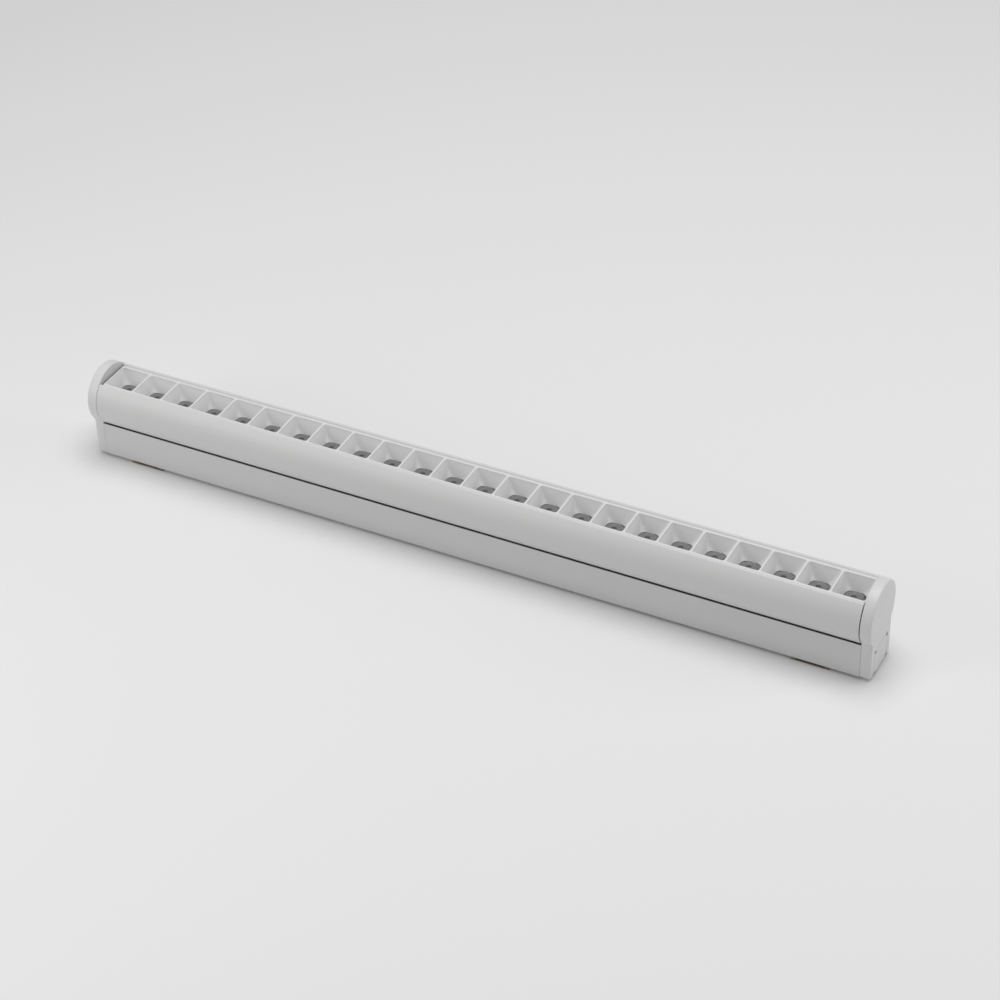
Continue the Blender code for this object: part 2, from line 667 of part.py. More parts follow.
def make_clip(side, name, material):
    """Spring-steel clip: a plate on the surface, a pad at each end for the base and two hooked tongues."""
    middle = side * CLIP_PLACE
    start, end = middle - CLIP_LENGTH / 2, middle + CLIP_LENGTH / 2
    half = BASE_HALF - 0.4 * MM
    slot_half = RAIL_MOUTH / 2 - GAP - CLIP_STEEL
    hook = CLIP_PLATE + RAIL_LIP + GAP
    reach = RAIL_WIDTH / 2 - GAP
    right = [
        (slot_half, CLIP_STEEL), (slot_half, hook + CLIP_STEEL), (reach, hook + CLIP_STEEL),
        (reach, hook), (slot_half + CLIP_STEEL, hook), (slot_half + CLIP_STEEL, CLIP_STEEL),
    ]
    left = [(-y, z) for y, z in reversed(right)]
    plate = [(-half, 0.0), (half, 0.0), (half, CLIP_STEEL)]
    outline = plate + right[::-1] + left[::-1] + [(-half, CLIP_STEEL)]
    clip = place(name, extruded(name, outline, [], start, end), material)
    pads = []
    for low in (start, end - CLIP_FOLD):
        pads.append(block((low, -half, 0.5 * CLIP_STEEL), (low + CLIP_FOLD, half, CLIP_PLATE - GAP)))
    boolean(clip, joined(name + "_pads", pads), "UNION")
    hole = upright(CLIP_HOLE, CLIP_HOLE, (middle, 0.0), -MM, CLIP_PLATE, 16)
    boolean(clip, hole, "DIFFERENCE")


def build():
    clear_scene()
    white = finish("powder_white", (0.80, 0.80, 0.79), 0.42)
    cap_white = finish("cap_white", (0.82, 0.82, 0.81), 0.38)
    cover_white = finish("cover_white", (0.81, 0.81, 0.80), 0.40)
    louvre_white = finish("louvre_white", (0.84, 0.84, 0.83), 0.35)
    acrylic = finish("acrylic", (0.16, 0.16, 0.17), 0.12)
    board_white = finish("board_white", (0.85, 0.86, 0.84), 0.45)
    board_green = finish("board_green", (0.05, 0.24, 0.10), 0.50)
    black = finish("black_nylon", (0.04, 0.04, 0.045), 0.45)
    film = finish("insulating_film", (0.78, 0.78, 0.74), 0.40)
    tin = finish("tinned_brass", (0.78, 0.74, 0.62), 0.28, 1.0)
    zinc = finish("zinc_steel", (0.66, 0.66, 0.67), 0.34, 1.0)
    spring = finish("spring_steel", (0.46, 0.42, 0.36), 0.38, 1.0)
    ferrite = finish("ferrite", (0.09, 0.09, 0.10), 0.60)
    tape = finish("yellow_tape", (0.80, 0.62, 0.10), 0.45)
    sleeve = finish("capacitor_sleeve", (0.06, 0.07, 0.12), 0.35)
    lead = finish("lead_insulation", (0.62, 0.60, 0.56), 0.50)
    terminal = finish("terminal_grey", (0.42, 0.43, 0.44), 0.50)

    make_base(white)
    left_cap = make_cap(-1.0, "end_cap_left", cap_white)
    make_lead_duct(left_cap)
    right_cap = make_cap(1.0, "end_cap_right", cap_white)
    make_stop_groove(right_cap)
    for side, word in ((-1.0, "left"), (1.0, "right")):
        make_cover(side, f"socket_cover_{word}", cover_white)
        make_socket(side, f"link_socket_{word}", black, tin)
        make_clip(side, f"mounting_clip_{word}", spring)
    parts = [
        ("input_terminal", 72.0 * MM, 0.0, (14.0 * MM, 15.0 * MM), 7.0 * MM, terminal),
        ("fuse", 57.0 * MM, -5.0 * MM, (8.0 * MM, 4.0 * MM), 5.0 * MM, black),
        ("rectifier", 43.0 * MM, 4.0 * MM, (9.0 * MM, 6.5 * MM), 3.0 * MM, black),
        ("input_capacitor", 25.0 * MM, 0.0, (5.0 * MM, None), 6.8 * MM, sleeve),
        ("transformer", -2.0 * MM, 0.0, (22.0 * MM, 17.0 * MM), 7.2 * MM, tape),
        ("control_chip", -24.0 * MM, 5.0 * MM, (5.0 * MM, 4.0 * MM), 1.6 * MM, black),
        ("output_inductor", -38.0 * MM, -2.0 * MM, (12.0 * MM, 12.0 * MM), 5.4 * MM, ferrite),
        ("output_capacitor", -56.0 * MM, 3.0 * MM, (4.0 * MM, None), 6.8 * MM, sleeve),
        ("output_terminal", -73.0 * MM, 0.0, (10.0 * MM, 8.0 * MM), 6.0 * MM, terminal),
    ]
    make_driver(board_green, film, parts)

    pivot = empty("tilt_axis", (0.0, 0.0, AXIS_Z))
    make_head(pivot, white)
    make_louvre(pivot, louvre_white)
    make_light_engine(pivot, acrylic, board_white)
    for side, word in ((-1.0, "left"), (1.0, "right")):
        make_plug(side, f"end_plug_{word}", pivot, black)
        make_plug_screws(side, word, pivot, zinc)
        make_washer(side, f"friction_washer_{word}", pivot, spring)
    make_stop_pin(pivot, zinc)
    make_leads(pivot, lead)


build()
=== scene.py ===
import json
import math

import bmesh
import bpy
from mathutils import Matrix, Vector


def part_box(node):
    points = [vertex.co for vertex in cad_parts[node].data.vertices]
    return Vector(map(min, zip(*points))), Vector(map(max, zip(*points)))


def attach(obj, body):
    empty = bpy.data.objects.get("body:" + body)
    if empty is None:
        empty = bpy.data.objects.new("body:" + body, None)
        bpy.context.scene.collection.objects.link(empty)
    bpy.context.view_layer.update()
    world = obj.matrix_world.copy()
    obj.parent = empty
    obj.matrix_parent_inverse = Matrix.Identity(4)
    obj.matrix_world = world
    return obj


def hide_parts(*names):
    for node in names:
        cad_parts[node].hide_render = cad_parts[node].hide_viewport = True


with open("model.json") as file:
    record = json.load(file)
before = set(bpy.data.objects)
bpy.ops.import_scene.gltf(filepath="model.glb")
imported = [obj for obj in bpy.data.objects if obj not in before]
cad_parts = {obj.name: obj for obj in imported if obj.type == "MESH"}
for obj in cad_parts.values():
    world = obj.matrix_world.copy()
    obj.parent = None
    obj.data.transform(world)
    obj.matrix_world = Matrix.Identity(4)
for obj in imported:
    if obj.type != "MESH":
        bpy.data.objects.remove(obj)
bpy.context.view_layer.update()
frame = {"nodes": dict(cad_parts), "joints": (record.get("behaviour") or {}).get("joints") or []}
MM = 0.001


# Floor, light and camera.
# A pale seamless sheet, one large soft light overhead and a little behind, small weak fills low in front
# on the left and behind on the right, and a long lens that looks down from the right-hand end.
FLOOR_SIDE = 12.0
CAMERA_AT = (0.6871, -1.2089, 1.0914)
CAMERA_AZIMUTH = 28.758
CAMERA_ELEVATION = 37.121
CAMERA_ROLL = -2.335
CAMERA_LENS = 92.58
SENSOR = 36.0

scene = bpy.context.scene
scene.view_settings.view_transform = "Standard"
sky = bpy.data.worlds.new("studio")
scene.world = sky
sky.use_nodes = True
glow = sky.node_tree.nodes["Background"]
glow.inputs["Color"].default_value = (1.0, 1.0, 0.995, 1.0)
glow.inputs["Strength"].default_value = 0.345


def softbox(name, at, aim, size, power):
    """A square studio light pointed at a spot."""
    lamp = bpy.data.lights.new(name, "AREA")
    lamp.shape = "SQUARE"
    lamp.size = size
    lamp.energy = power
    item = bpy.data.objects.new(name, lamp)
    scene.collection.objects.link(item)
    item.location = at
    item.rotation_euler = (Vector(aim) - Vector(at)).to_track_quat("-Z", "Y").to_euler()


softbox("overhead", (0.1, 0.2, 2.3), (0.0, 0.0, 0.0), 1.6, 32.9)
softbox("front_fill", (-0.62, -0.7, 0.45), (-0.25, 0.0, 0.04), 0.5, 1.6)
softbox("side_fill", (1.3, 0.5, 0.45), (0.3, 0.0, 0.03), 0.5, 2.4)

floor_mesh = bpy.data.meshes.new("studio_floor")
half = FLOOR_SIDE / 2
floor_corners = [(-half, -half, 0), (half, -half, 0), (half, half, 0), (-half, half, 0)]
floor_mesh.from_pydata(floor_corners, [], [(0, 1, 2, 3)])
floor = bpy.data.objects.new("studio_floor", floor_mesh)
scene.collection.objects.link(floor)
paper = bpy.data.materials.new("studio_paper")
paper.use_nodes = True
paper_shader = paper.node_tree.nodes["Principled BSDF"]
paper_shader.inputs["Base Color"].default_value = (0.80, 0.80, 0.80, 1.0)
paper_shader.inputs["Roughness"].default_value = 0.7
floor_mesh.materials.append(paper)

camera = bpy.data.cameras.new("camera")
camera.sensor_width = SENSOR
camera.lens = CAMERA_LENS
camera.clip_start = 0.05
camera_item = bpy.data.objects.new("camera", camera)
scene.collection.objects.link(camera_item)
swing = Matrix.Rotation(math.radians(CAMERA_AZIMUTH), 4, "Z")
tip = Matrix.Rotation(math.radians(90.0 - CAMERA_ELEVATION), 4, "X")
roll = Matrix.Rotation(math.radians(CAMERA_ROLL), 4, "Z")
camera_item.matrix_world = Matrix.Translation(CAMERA_AT) @ swing @ tip @ roll
scene.camera = camera_item


# Base channel.
# One aluminium extrusion with flat sides, a hollow saddle that the round head turns in, a closed duct
# for the driver and a T-slot underneath for the clips. It is sawn to length and powder coated white.
BASE_CORNER = 0.6 * MM
BASE_RIM = 0.35 * MM
SLOT_EASE = 0.2 * MM
BASE_WALL = 1.5 * MM
SADDLE_GAP = 1.1 * MM
RAIL_MOUTH = 7.0 * MM
RAIL_INSIDE = 10.0 * MM
RAIL_LIP = 1.4 * MM
RAIL_DEPTH = 4.6 * MM
CLOSE_FIT = 0.2 * MM   # the base reaches this much nearer each cap than its solid
GAP = 0.3 * MM         # clearance between parts that fit together

tilt = next(joint for joint in frame["joints"] if joint["name"] == "head_tilt")
AXIS_Z = tilt["pos_m"][2]
base_low, base_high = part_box("base_channel")
head_low, head_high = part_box("head_profile")
BASE_HALF = base_high[1]
BASE_FOOT = base_low[2]
HEAD_RADIUS = head_high[1]
SADDLE = HEAD_RADIUS + SADDLE_GAP


def arc(radius, start, end, steps, middle=(0.0, None)):
    """Points in Y and Z on a circle, angles in degrees from +Y towards +Z, about the tilt axis by default."""
    rise = AXIS_Z if middle[1] is None else middle[1]
    points = []
    for step in range(steps + 1):
        angle = math.radians(start + (end - start) * step / steps)
        points.append((middle[0] + radius * math.cos(angle), rise + radius * math.sin(angle)))
    return points


def eased(points, radii, steps=4):
    """An outline with the corners numbered in radii rounded to the radius given there."""
    smooth_line = []
    count = len(points)
    for number, corner in enumerate(points):
        radius = radii.get(number, 0.0)
        if not radius:
            smooth_line.append(tuple(corner))
            continue
        here = Vector(corner)
        back = (Vector(points[number - 1]) - here).normalized()
        ahead = (Vector(points[(number + 1) % count]) - here).normalized()
        half_angle = back.angle(ahead) / 2
        reach = radius / math.tan(half_angle)
        centre = here + (back + ahead).normalized() * (radius / math.sin(half_angle))
        first, last = here + back * reach - centre, here + ahead * reach - centre
        for step in range(steps + 1):
            along = first.normalized().slerp(last.normalized(), step / steps)
            smooth_line.append(tuple(centre + along * radius))
    return smooth_line


def drawn_out(name, outline, holes, start, end):
    """A profile in Y and Z, with its holes, made into a closed bar from start to end along X."""
    shape = bmesh.new()
    edges = []
    for ring in [outline, *holes]:
        dots = [shape.verts.new((start, y, z)) for y, z in ring]
        edges += [shape.edges.new((a, b)) for a, b in zip(dots, dots[1:] + dots[:1])]
    bmesh.ops.triangle_fill(shape, edges=edges, use_beauty=True, normal=(-1.0, 0.0, 0.0))
    drawn = bmesh.ops.extrude_face_region(shape, geom=shape.faces[:])
    moved = [part for part in drawn["geom"] if isinstance(part, bmesh.types.BMVert)]
    bmesh.ops.translate(shape, verts=moved, vec=(end - start, 0.0, 0.0))
    bmesh.ops.recalc_face_normals(shape, faces=shape.faces)
    mesh = bpy.data.meshes.new(name)
    shape.to_mesh(mesh)
    shape.free()
    return mesh


def shown(name, mesh, material, angle=30.0):
    """An object for a finished mesh, smooth but for its sharp edges."""
    mesh.materials.clear()
    mesh.materials.append(material)
    mesh.shade_smooth()
    mesh.set_sharp_from_angle(angle=math.radians(angle))
    item = bpy.data.objects.new(name, mesh)
    scene.collection.objects.link(item)
    return item


def new_group(name, inputs, outputs):
    """An empty shader node group with named number inputs and outputs."""
    group = bpy.data.node_groups.new(name, "ShaderNodeTree")
    for label, value in inputs:
        socket = group.interface.new_socket(label, in_out="INPUT", socket_type="NodeSocketFloat")
        socket.default_value = value
    for label in outputs:
        group.interface.new_socket(label, in_out="OUTPUT", socket_type="NodeSocketFloat")
    return group


def math_node(tree, operation, first, second):
    """A Math node: each of its two inputs is a number or another node's socket."""
    node = tree.nodes.new("ShaderNodeMath")
    node.operation = operation
    for slot, value in enumerate((first, second)):
        if isinstance(value, (int, float)):
            node.inputs[slot].default_value = value
        else:
            tree.links.new(value, node.inputs[slot])
    return node.outputs[0]


def build_surface_group():
    """Fine orange peel, a slow drift in tone and a light mottling of the gloss, for coats and mouldings."""
    group = new_group(
        "coat_surface",
        [("Grain Scale", 900.0), ("Drift", 0.03), ("Roughness", 0.4), ("Mottle", 0.06), ("Dust", 0.02)],
        ["Tone", "Roughness", "Height"],
    )
    nodes, links = group.nodes, group.links
    given = nodes.new("NodeGroupInput")
    result = nodes.new("NodeGroupOutput")
    place = nodes.new("ShaderNodeTexCoord")
    peel = nodes.new("ShaderNodeTexNoise")
    peel.inputs["Detail"].default_value = 3.0
    links.new(place.outputs["Object"], peel.inputs["Vector"])
    links.new(given.outputs["Grain Scale"], peel.inputs["Scale"])
    drift = nodes.new("ShaderNodeTexNoise")
    drift.inputs["Scale"].default_value = 9.0
    drift.inputs["Detail"].default_value = 2.0
    links.new(place.outputs["Object"], drift.inputs["Vector"])
    specks = nodes.new("ShaderNodeTexVoronoi")
    specks.inputs["Scale"].default_value = 420.0
    links.new(place.outputs["Object"], specks.inputs["Vector"])
    speck = nodes.new("ShaderNodeMapRange")
    speck.inputs["From Min"].default_value = 0.05
    speck.inputs["From Max"].default_value = 0.11
    speck.inputs["To Min"].default_value = 1.0
    speck.inputs["To Max"].default_value = 0.0
    links.new(specks.outputs["Distance"], speck.inputs["Value"])
    centred = math_node(group, "SUBTRACT", drift.outputs["Fac"], 0.5)
    slow = math_node(group, "MULTIPLY", centred, given.outputs["Drift"])
    dust = math_node(group, "MULTIPLY", speck.outputs["Result"], given.outputs["Dust"])
    tone = math_node(group, "SUBTRACT", math_node(group, "ADD", slow, 1.0), dust)
    links.new(tone, result.inputs["Tone"])
    ripple = math_node(group, "SUBTRACT", peel.outputs["Fac"], 0.5)
    mottle = math_node(group, "MULTIPLY", ripple, given.outputs["Mottle"])
    links.new(math_node(group, "ADD", mottle, given.outputs["Roughness"]), result.inputs["Roughness"])
    links.new(peel.outputs["Fac"], result.inputs["Height"])
    return group


coat_surface = build_surface_group()


def finish_with(name, group, colour, values, bump, metallic=0.0, coat=0.0):
    """A Principled material whose tone, roughness and bump come from a surface group."""
    made = bpy.data.materials.new(name)
    made.use_nodes = True
    nodes, links = made.node_tree.nodes, made.node_tree.links
    shader = nodes["Principled BSDF"]
    shader.inputs["Metallic"].default_value = metallic
    shader.inputs["Coat Weight"].default_value = coat
    surface = nodes.new("ShaderNodeGroup")
    surface.node_tree = group
    for label, value in values.items():
        surface.inputs[label].default_value = value
    tint = nodes.new("ShaderNodeMix")
    tint.data_type = "RGBA"
    tint.blend_type = "MULTIPLY"
    tint.inputs["Factor"].default_value = 1.0
    tint.inputs[6].default_value = (*colour, 1.0)
    links.new(surface.outputs["Tone"], tint.inputs[7])
    links.new(tint.outputs[2], shader.inputs["Base Color"])
    links.new(surface.outputs["Roughness"], shader.inputs["Roughness"])
    raised = nodes.new("ShaderNodeBump")
    raised.inputs["Strength"].default_value = bump
    raised.inputs["Distance"].default_value = 0.0001
    links.new(surface.outputs["Height"], raised.inputs["Height"])
    links.new(raised.outputs["Normal"], shader.inputs["Normal"])
    return made


powder_coat = finish_with(
    "powder_coat", coat_surface, (0.655, 0.65, 0.65),
    {"Grain Scale": 1400.0, "Drift": 0.03, "Roughness": 0.42, "Mottle": 0.08, "Dust": 0.02}, 0.10,
)


def base_profile():
    """The outline of the base, its sharp corners eased as the die eases them."""
    rim = math.degrees(math.acos(BASE_HALF / SADDLE))
    slot = [
        (-RAIL_MOUTH, BASE_FOOT),
        (-RAIL_MOUTH, BASE_FOOT + RAIL_LIP),
        (-RAIL_INSIDE, BASE_FOOT + RAIL_LIP),
        (-RAIL_INSIDE, BASE_FOOT + RAIL_DEPTH),
    ]
    under = [(-BASE_HALF, BASE_FOOT), *slot, *[(-y, z) for y, z in reversed(slot)], (BASE_HALF, BASE_FOOT)]
    saddle = arc(SADDLE, -rim, rim - 180.0, 64)
    corners = {0: BASE_CORNER, len(under) - 1: BASE_CORNER}
    for number in range(1, len(under) - 1):
        corners[number] = SLOT_EASE
    corners[len(under)] = BASE_RIM
    corners[len(under) + len(saddle) - 1] = BASE_RIM
    return eased(under + saddle, corners)


def base_hollows():
    """The duct for the driver and the hollow in each foot."""
    low = BASE_FOOT + RAIL_DEPTH + BASE_WALL
    side = BASE_HALF - BASE_WALL
    roof = SADDLE + BASE_WALL
    rim = math.degrees(math.acos(side / roof))
    duct = [(-side, low), (side, low)] + arc(roof, -rim, rim - 180.0, 32)
    near = RAIL_INSIDE + BASE_WALL
    foot = [
        (near, BASE_FOOT + RAIL_LIP),
        (side, BASE_FOOT + RAIL_LIP),
        (side, BASE_FOOT + RAIL_DEPTH),
        (near, BASE_FOOT + RAIL_DEPTH),
    ]
    return [duct, foot, [(-y, z) for y, z in reversed(foot)]]


saw_low, saw_high = base_low[0] - CLOSE_FIT, base_high[0] + CLOSE_FIT
base_mesh = drawn_out("base_extrusion", base_profile(), base_hollows(), saw_low, saw_high)
base = shown("base_extrusion", base_mesh, powder_coat)
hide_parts("base_channel")
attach(base, "base")


# Head profile.
# The second extrusion: a round aluminium tube cut open to a flat mouth, with a ledge along each side
# for the louvre, a web for the LED board and two screw ports. It carries the same white powder coat.
MOUTH_TOP = head_high[2]
MOUTH_HALF = 14.0 * MM
LIP_ROUND = 0.35 * MM
HEAD_WALL = 1.6 * MM
LEDGE_DROP = 1.8 * MM
LEDGE_THICK = 1.4 * MM
LEDGE_REACH = 1.8 * MM
WEB_TOP = AXIS_Z + 0.9 * MM
WEB_THICK = 1.8 * MM
PORT_RADIUS = 2.8 * MM
PORT_BORE = 1.6 * MM
PORT_CIRCLE = 18.6 * MM
PLUG_POCKET = 6.3 * MM
POCKET_START, POCKET_END = 14.0, -194.0   # degrees from +Y, below the ledges
WALL_LEFT = 0.05 * MM                     # the pockets keep clear of the inner wall


def cut(mesh, tools, operation):
    """The mesh after exact Booleans with closed tool meshes."""
    item = bpy.data.objects.new(mesh.name, mesh)
    scene.collection.objects.link(item)
    helpers = []
    for tool in tools:
        helper = bpy.data.objects.new("tool", tool)
        scene.collection.objects.link(helper)
        change = item.modifiers.new("cut", "BOOLEAN")
        change.operation = operation
        change.solver = "EXACT"
        change.object = helper
        helpers.append(helper)
    seen = item.evaluated_get(bpy.context.evaluated_depsgraph_get())
    result = bpy.data.meshes.new_from_object(seen)
    for old in [item, *helpers]:
        bpy.data.objects.remove(old, do_unlink=True)
    return result


def bar(radius, start, end, y, z, sides=48):
    """A round bar along X, with Y and Z from the tilt axis."""
    ring = arc(radius, 0.0, 360.0, sides, (y, AXIS_Z + z))[:-1]
    return drawn_out("bar", ring, [], start, end)


def head_profile_outline():
    """The open round with its lips eased, and the ledges under them."""
    inner = HEAD_RADIUS - HEAD_WALL
    rise = MOUTH_TOP - AXIS_Z
    lip = math.degrees(math.asin(rise / HEAD_RADIUS))
    ledge_top = rise - LEDGE_DROP
    foot = math.degrees(math.asin((ledge_top - LEDGE_THICK) / inner))
    web = math.degrees(math.asin((WEB_TOP - AXIS_Z) / inner))
    reach = MOUTH_HALF - LEDGE_REACH
    ledge = [
        (MOUTH_HALF, MOUTH_TOP),
        (MOUTH_HALF, AXIS_Z + ledge_top),
        (reach, AXIS_Z + ledge_top),
        (reach, AXIS_Z + ledge_top - LEDGE_THICK),
    ]
    right = ledge + arc(inner, foot, web, 12)
    left = [(-y, z) for y, z in right]
    outside = arc(HEAD_RADIUS, lip, -180.0 - lip, 150)
    corners = {0: LIP_ROUND, len(outside) - 1: LIP_ROUND, len(outside): LIP_ROUND}
    outline = outside + left + right[::-1]
    corners[len(outline) - 1] = LIP_ROUND
    return eased(outline, corners)


def head_chamber():
    """The hollow under the web."""
    inner = HEAD_RADIUS - HEAD_WALL
    web = math.degrees(math.asin((WEB_TOP - WEB_THICK - AXIS_Z) / inner))
    return arc(inner, web, -180.0 - web, 90)


head_outline = head_profile_outline()
head_mesh = drawn_out("head_extrusion", head_outline, [head_chamber()], head_low[0], head_high[0])
across = PORT_CIRCLE * math.sqrt(0.5)
inside_span = (head_low[0] + PLUG_POCKET, head_high[0] - PLUG_POCKET)
ports = [bar(PORT_RADIUS, *inside_span, side * across, -across, 32) for side in (-1, 1)]
head_mesh = cut(head_mesh, ports, "UNION")
milled = arc(HEAD_RADIUS - HEAD_WALL - WALL_LEFT, POCKET_START, POCKET_END, 60)
pockets = [
    drawn_out("pocket", milled, [], head_low[0] - MM, head_low[0] + PLUG_POCKET),
    drawn_out("pocket", milled, [], head_high[0] - PLUG_POCKET, head_high[0] + MM),
]
bore_span = (head_low[0] - MM, head_high[0] + MM)
bores = [bar(PORT_BORE, *bore_span, side * across, -across, 24) for side in (-1, 1)]
head_mesh = cut(head_mesh, [*bores, *pockets], "DIFFERENCE")
head = shown("head_extrusion", head_mesh, powder_coat)
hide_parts("head_profile")
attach(head, "head")


# Louvre.
# One white reflector moulding dropped into the mouth: a row of square funnels with thin dividers, flat
# flanks that meet in soft creases, and a rounded hole at the foot of each funnel over its lens.
CELLS = 24
PITCH = 24.0 * MM
CELL_X = 22.5 * MM
CELL_Y = 23.0 * MM
FUNNEL_DEPTH = 10.4 * MM
HOLE_HALF = 7.2 * MM
CELL_SHIFT = -0.35 * MM
LOUVRE_SKIN = 0.9 * MM
DIVIDER_ROUND = 0.35 * MM
MOUTH_SQUARE = 16.0        # a funnel is nearly square at its mouth
HOLE_SQUARE = 3.4          # and well rounded at its hole
SQUARE_FALL = 1.6
HOLE_LIP = 0.12 * MM
HOLE_TAPER = 0.985
AROUND = 56
EASING = 4
LEVELS = 7
louvre_low, louvre_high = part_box("louvre")
LOUVRE_PLAY = 0.12 * MM
LOUVRE_HALF = MOUTH_HALF - LOUVRE_PLAY
LOUVRE_MIDDLE = (louvre_low[0] + louvre_high[0]) / 2
WELD = 0.02 * MM
FIRST_CELL = LOUVRE_MIDDLE - (CELLS - 1) / 2 * PITCH


def soft_square(half_x, half_y, power, count):
    """Points round a square whose corners grow rounder as the power falls towards two."""
    ring = []
    for number in range(count):
        angle = 2 * math.pi * (number + 0.5) / count
        c, s = math.cos(angle), math.sin(angle)
        x = math.copysign(abs(c) ** (2 / power), c) * half_x
        y = math.copysign(abs(s) ** (2 / power), s) * half_y
        ring.append((x, y))
    return ring


def out_to_edge(ring, half_x, half_y):
    """Each point of a ring pushed out to a plain rectangle."""
    edge = []
    for x, y in ring:
        if abs(x) / half_x > abs(y) / half_y:
            edge.append((math.copysign(half_x, x), y * half_y / (CELL_Y / 2)))
        else:
            edge.append((x * half_x / (CELL_X / 2), math.copysign(half_y, y)))
    return edge


def funnel_cell():
    """One cell of the louvre as an open sheet: its share of the rim, the funnel and the hole's edge."""
    shape = bmesh.new()
    top = louvre_high[2]
    mouth = soft_square(CELL_X / 2, CELL_Y / 2, MOUTH_SQUARE, AROUND)
    rings = [(out_to_edge(mouth, PITCH / 2, LOUVRE_HALF), top)]
    for step in range(EASING + 1):
        turn = math.pi / 2 * step / EASING
        grow = DIVIDER_ROUND * (1 - math.sin(turn))
        fall = DIVIDER_ROUND * (1 - math.cos(turn))
        ring = soft_square(CELL_X / 2 + grow, CELL_Y / 2 + grow, MOUTH_SQUARE, AROUND)
        rings.append((ring, top - fall))
    for step in range(1, LEVELS + 1):
        share = step / LEVELS
        power = MOUTH_SQUARE + (HOLE_SQUARE - MOUTH_SQUARE) * share ** SQUARE_FALL
        half_x = CELL_X / 2 + (HOLE_HALF - CELL_X / 2) * share
        half_y = CELL_Y / 2 + (HOLE_HALF - CELL_Y / 2) * share
        drop = DIVIDER_ROUND + (FUNNEL_DEPTH - DIVIDER_ROUND) * share
        rings.append((soft_square(half_x, half_y, power, AROUND), top - drop))
    narrowed = [(x * HOLE_TAPER, y * HOLE_TAPER) for x, y in rings[-1][0]]
    rings.append((narrowed, top - FUNNEL_DEPTH - HOLE_LIP))
    made = []
    for level, (ring, z) in enumerate(rings):
        across = CELL_SHIFT if level else 0.0
        made.append([shape.verts.new((x, y + across, z)) for x, y in ring])
    for outer, inner in zip(made, made[1:]):
        for number in range(AROUND):
            after = (number + 1) % AROUND
            shape.faces.new((outer[number], outer[after], inner[after], inner[number]))
    mesh = bpy.data.meshes.new("funnel_cell")
    shape.to_mesh(mesh)
    shape.free()
    return mesh


def row_tree(name, finish):
    """Geometry nodes that repeat the modifier's own mesh in a row along X and give it its finish."""
    tree = bpy.data.node_groups.new(name, "GeometryNodeTree")
    face = tree.interface
    face.new_socket("Geometry", in_out="INPUT", socket_type="NodeSocketGeometry")
    count = face.new_socket("Count", in_out="INPUT", socket_type="NodeSocketInt")
    count.default_value = CELLS
    pitch = face.new_socket("Pitch", in_out="INPUT", socket_type="NodeSocketFloat")
    first = face.new_socket("First", in_out="INPUT", socket_type="NodeSocketVector")
    face.new_socket("Geometry", in_out="OUTPUT", socket_type="NodeSocketGeometry")
    nodes, links = tree.nodes, tree.links
    given = nodes.new("NodeGroupInput")
    result = nodes.new("NodeGroupOutput")
    step = nodes.new("ShaderNodeCombineXYZ")
    links.new(given.outputs["Pitch"], step.inputs["X"])
    line = nodes.new("GeometryNodeMeshLine")
    line.mode = "OFFSET"
    links.new(given.outputs["Count"], line.inputs["Count"])
    links.new(given.outputs["First"], line.inputs["Start Location"])
    links.new(step.outputs["Vector"], line.inputs["Offset"])
    copies = nodes.new("GeometryNodeInstanceOnPoints")
    links.new(line.outputs["Mesh"], copies.inputs["Points"])
    links.new(given.outputs["Geometry"], copies.inputs["Instance"])
    real = nodes.new("GeometryNodeRealizeInstances")
    links.new(copies.outputs["Instances"], real.inputs["Geometry"])
    weld = nodes.new("GeometryNodeMergeByDistance")
    weld.inputs["Distance"].default_value = WELD
    links.new(real.outputs["Geometry"], weld.inputs["Geometry"])
    coat = nodes.new("GeometryNodeSetMaterial")
    coat.inputs["Material"].default_value = finish
    links.new(weld.outputs["Geometry"], coat.inputs["Geometry"])
    links.new(coat.outputs["Geometry"], result.inputs["Geometry"])
    return tree, {"Count": count.identifier, "Pitch": pitch.identifier, "First": first.identifier}


def repeated(name, mesh, finish, count, pitch, first):
    """A plain mesh of a row of copies."""
    tree, sockets = row_tree(name + "_row", finish)
    item = bpy.data.objects.new(name, mesh)
    scene.collection.objects.link(item)
    row = item.modifiers.new("row", "NODES")
    row.node_group = tree
    row[sockets["Count"]] = count
    row[sockets["Pitch"]] = pitch
    row[sockets["First"]] = first
    seen = item.evaluated_get(bpy.context.evaluated_depsgraph_get())
    result = bpy.data.meshes.new_from_object(seen)
    bpy.data.objects.remove(item, do_unlink=True)
    return result


louvre_plastic = finish_with(
    "louvre_plastic", coat_surface, (0.72, 0.72, 0.72),
    {"Grain Scale": 2200.0, "Drift": 0.02, "Roughness": 0.34, "Mottle": 0.05, "Dust": 0.03}, 0.05,
)
louvre_mesh = repeated("louvre_sheet", funnel_cell(), louvre_plastic, CELLS, PITCH, (FIRST_CELL, 0.0, 0.0))
louvre_end = (louvre_high[0] - louvre_low[0]) / 2
for vertex in louvre_mesh.vertices:
    along = vertex.co.x - LOUVRE_MIDDLE
    if abs(along) > CELLS * PITCH / 2 - WELD / 2:
        vertex.co.x = LOUVRE_MIDDLE + math.copysign(louvre_end, along)
louvre = shown("louvre", louvre_mesh, louvre_plastic, 40.0)
louvre.name = "louvre_moulding"
skin = louvre.modifiers.new("skin", "SOLIDIFY")
skin.thickness = LOUVRE_SKIN
skin.offset = -1.0
skin.use_rim = True
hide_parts("louvre")
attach(louvre, "head")


